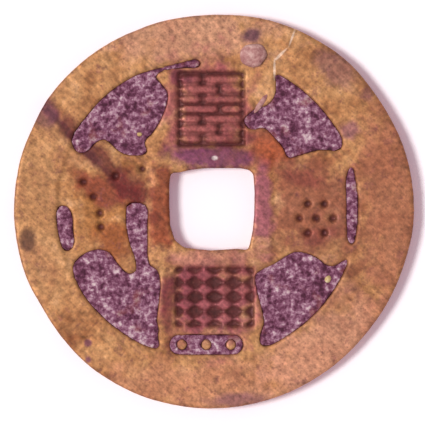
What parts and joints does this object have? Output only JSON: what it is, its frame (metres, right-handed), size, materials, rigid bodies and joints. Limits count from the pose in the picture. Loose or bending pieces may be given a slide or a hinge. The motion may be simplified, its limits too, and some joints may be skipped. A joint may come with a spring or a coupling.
{
  "type": "cash coin",
  "caption": "Worn round brass coin with a square hole, raised rims and mineral crust in its sunken field.",
  "frame": {"origin": "middle of the outline, on the plane of the reverse rim that the coin lies on", "axes": "+Z out of the obverse, +Y towards the top of the obverse, +X to the right of the obverse"},
  "size_m": [0.0252, 0.0248, 0.0018],
  "materials": {
    "worn_brass": "worn, stained cast brass",
    "mineral_crust": "rough purple-grey crust",
    "pink_mineral": "pale pink mineral",
    "sand": "cream sand grain"
  },
  "bodies": {
    "root": {"coin_casting": "worn_brass", "crust_upper_left": "mineral_crust", "crust_upper_right": "mineral_crust", "crust_lower_left": "mineral_crust", "crust_lower_right": "mineral_crust", "crust_right_gutter": "mineral_crust", "crust_left_crescent": "mineral_crust", "crust_bead_band": "mineral_crust", "mineral_nodule": "pink_mineral", "pale_scale": "pink_mineral", "sand_grain_left": "sand", "sand_grain_right": "sand"}
  },
  "joints": []
}
